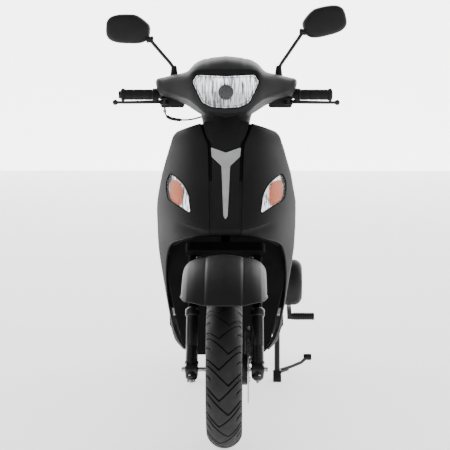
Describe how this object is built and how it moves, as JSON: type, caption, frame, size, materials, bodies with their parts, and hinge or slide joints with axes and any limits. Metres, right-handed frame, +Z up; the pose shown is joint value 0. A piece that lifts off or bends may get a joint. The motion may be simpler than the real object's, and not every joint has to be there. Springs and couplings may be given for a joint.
{
  "type": "moped scooter",
  "caption": "Step-through moped scooter on its centre stand, with leg shield, headlight cowl, hinged seat, telescopic fork, swinging engine unit and rear carrier.",
  "frame": {"origin": "on the ground, under the middle of the whole scooter's box, as it stands on its centre stand", "axes": "+Y towards the rear along the length, +X to the rider's left, +Z up"},
  "size_m": [0.684, 1.7794, 1.1827],
  "materials": {
    "body_panel": "satin dark grey moulded body panels",
    "black_plastic": "unpainted textured black plastic",
    "silver_trim": "satin silver coated trim",
    "headlight_glass": "clear moulded lens",
    "signal_lens": "clear lens over an amber bulb",
    "reflector": "bright aluminised bowl",
    "red_lens": "red moulded lens",
    "frame_paint": "black frame paint",
    "steel": "zinc plated steel",
    "chrome": "polished chrome",
    "engine_alloy": "cast alloy",
    "wheel_alloy": "black painted cast alloy",
    "rubber": "black moulded rubber",
    "tyre": "black tyre rubber",
    "mirror_glass": "silvered glass",
    "seat_vinyl": "grained black vinyl over foam",
    "clear_plastic": "translucent moulded plastic"
  },
  "bodies": {
    "chassis": {"leg_shield": "body_panel", "centre_panel": "body_panel", "shield_trim": "silver_trim", "front_signals": "signal_lens", "inner_shield": "black_plastic", "wheel_liner": "black_plastic", "frame_spine": "frame_paint", "frame_rails": "frame_paint", "frame_brackets": "frame_paint", "floorboard": "black_plastic", "seat_pillar": "body_panel", "side_panels": "body_panel", "tail_light": "red_lens", "storage_bucket": "black_plastic", "fuel_tank": "frame_paint", "rear_carrier": "frame_paint", "rear_mudguard": "black_plastic"},
    "key": {"ignition_key": "steel"},
    "cap": {"fuel_cap": "black_plastic"},
    "seat": {"seat_base": "black_plastic", "seat_cushion": "seat_vinyl"},
    "steering": {"fork_crown": "frame_paint", "handlebar": "chrome", "headlight_cowl": "body_panel", "rear_cowl": "black_plastic", "headlight_lens": "headlight_glass", "headlight_reflector": "reflector", "front_fender": "body_panel", "left_grip": "rubber", "control_housings": "black_plastic", "throttle_cable": "rubber"},
    "throttle": {"throttle_grip": "rubber"},
    "left_lever": {"left_brake_lever": "black_plastic"},
    "right_lever": {"right_brake_lever": "black_plastic"},
    "horn": {"horn_button": "black_plastic"},
    "starter": {"starter_button": "black_plastic"},
    "left_mirror_arm": {"left_mirror_stem": "frame_paint"},
    "right_mirror_arm": {"right_mirror_stem": "frame_paint"},
    "left_mirror": {"left_mirror_shell": "black_plastic", "left_mirror_glass": "mirror_glass"},
    "right_mirror": {"right_mirror_shell": "black_plastic", "right_mirror_glass": "mirror_glass"},
    "fork_lower": {"fork_lowers": "frame_paint", "front_axle": "steel", "brake_caliper": "engine_alloy"},
    "front_wheel": {"front_rim": "wheel_alloy", "brake_disc": "steel", "front_tyre": "tyre"},
    "engine": {"crankcase": "engine_alloy", "cylinder": "engine_alloy", "cvt_cover": "engine_alloy", "air_filter": "black_plastic", "exhaust": "frame_paint"},
    "rear_wheel": {"rear_rim": "wheel_alloy", "rear_tyre": "tyre"},
    "kick": {"kick_lever": "steel"},
    "stand": {"centre_stand": "frame_paint"},
    "shock_body": {"shock_upper": "steel"},
    "shock_rod": {"shock_lower": "steel", "shock_spring": "chrome"}
  },
  "joints": [
    {"name": "steer", "type": "hinge", "parent": "chassis", "child": "steering", "pos_m": [0, -0.41059, 0.7], "axis": [0, 0.4384, 0.8988], "range_deg": [-42, 42]},
    {"name": "fork_slide", "type": "slide", "parent": "steering", "child": "fork_lower", "axis": [0, 0.4384, 0.8988], "range_m": [0, 0.06], "stiffness_N_per_m": 9000, "springref_m": -0.07},
    {"name": "front_spin", "type": "hinge", "parent": "fork_lower", "child": "front_wheel", "pos_m": [0, -0.672, 0.208], "axis": [1, 0, 0], "continuous": true},
    {"name": "throttle_turn", "type": "hinge", "parent": "steering", "child": "throttle", "pos_m": [-0.25, -0.3, 0.926], "axis": [-1, 0, 0], "range_deg": [0, 75], "stiffness_Nm_per_rad": 0.4, "springref_deg": -11.46},
    {"name": "left_lever_pull", "type": "hinge", "parent": "steering", "child": "left_lever", "pos_m": [0.176, -0.338, 0.908], "axis": [0, 0, 1], "range_deg": [0, 12], "stiffness_Nm_per_rad": 2, "springref_deg": -5.73},
    {"name": "right_lever_pull", "type": "hinge", "parent": "steering", "child": "right_lever", "pos_m": [-0.176, -0.338, 0.908], "axis": [0, 0, -1], "range_deg": [0, 12], "stiffness_Nm_per_rad": 2, "springref_deg": -5.73},
    {"name": "horn_press", "type": "slide", "parent": "steering", "child": "horn", "axis": [0, -1, 0], "range_m": [0, 0.003], "stiffness_N_per_m": 400, "springref_m": -0.002},
    {"name": "starter_press", "type": "slide", "parent": "steering", "child": "starter", "axis": [0, -1, 0], "range_m": [0, 0.003], "stiffness_N_per_m": 400, "springref_m": -0.002},
    {"name": "left_mirror_swing", "type": "hinge", "parent": "steering", "child": "left_mirror_arm", "pos_m": [0.148, -0.32, 0.98], "axis": [0, 0, 1], "range_deg": [-25, 25]},
    {"name": "right_mirror_swing", "type": "hinge", "parent": "steering", "child": "right_mirror_arm", "pos_m": [-0.148, -0.32, 0.98], "axis": [0, 0, 1], "range_deg": [-25, 25]},
    {"name": "left_mirror_tilt", "type": "hinge", "parent": "left_mirror_arm", "child": "left_mirror", "pos_m": [0.216, -0.32, 1.103], "axis": [1, 0, 0], "range_deg": [-12, 12]},
    {"name": "right_mirror_tilt", "type": "hinge", "parent": "right_mirror_arm", "child": "right_mirror", "pos_m": [-0.216, -0.32, 1.082], "axis": [1, 0, 0], "range_deg": [-12, 12]},
    {"name": "key_turn", "type": "hinge", "parent": "chassis", "child": "key", "pos_m": [-0.07, -0.268, 0.73], "axis": [0, 1, 0], "range_deg": [0, 90]},
    {"name": "cap_turn", "type": "hinge", "parent": "chassis", "child": "cap", "pos_m": [-0.03, 0.438, 0.67], "axis": [0, 0, 1], "range_deg": [0, 90]},
    {"name": "seat_lift", "type": "hinge", "parent": "chassis", "child": "seat", "pos_m": [0, 0.103, 0.688], "axis": [1, 0, 0], "range_deg": [0, 75]},
    {"name": "engine_swing", "type": "hinge", "parent": "chassis", "child": "engine", "pos_m": [0, 0.14, 0.215], "axis": [1, 0, 0], "range_deg": [0, 8], "stiffness_Nm_per_rad": 2000, "springref_deg": -2.86},
    {"name": "rear_spin", "type": "hinge", "parent": "engine", "child": "rear_wheel", "pos_m": [0, 0.568, 0.238], "axis": [1, 0, 0], "continuous": true},
    {"name": "kick_press", "type": "hinge", "parent": "engine", "child": "kick", "pos_m": [0.2, 0.428, 0.225], "axis": [1, 0, 0], "range_deg": [0, 40], "stiffness_Nm_per_rad": 4, "springref_deg": -17.19},
    {"name": "stand_fold", "type": "hinge", "parent": "engine", "child": "stand", "pos_m": [0, 0.183, 0.19], "axis": [1, 0, 0], "range_deg": [0, 70]},
    {"name": "shock_tilt", "type": "hinge", "parent": "chassis", "child": "shock_body", "pos_m": [0.086, 0.528, 0.62], "axis": [1, 0, 0], "range_deg": [-2.3, 0]},
    {"name": "shock_slide", "type": "slide", "parent": "shock_body", "child": "shock_rod", "axis": [0, -0.1644, 0.9864], "range_m": [0, 0.0625], "deforming": ["shock_spring"]}
  ],
  "couplings": [
    {"joint": "shock_tilt", "follows": "engine_swing", "ratio": -0.283},
    {"joint": "shock_slide", "follows": "engine_swing", "m_per_rad": 0.443}
  ]
}
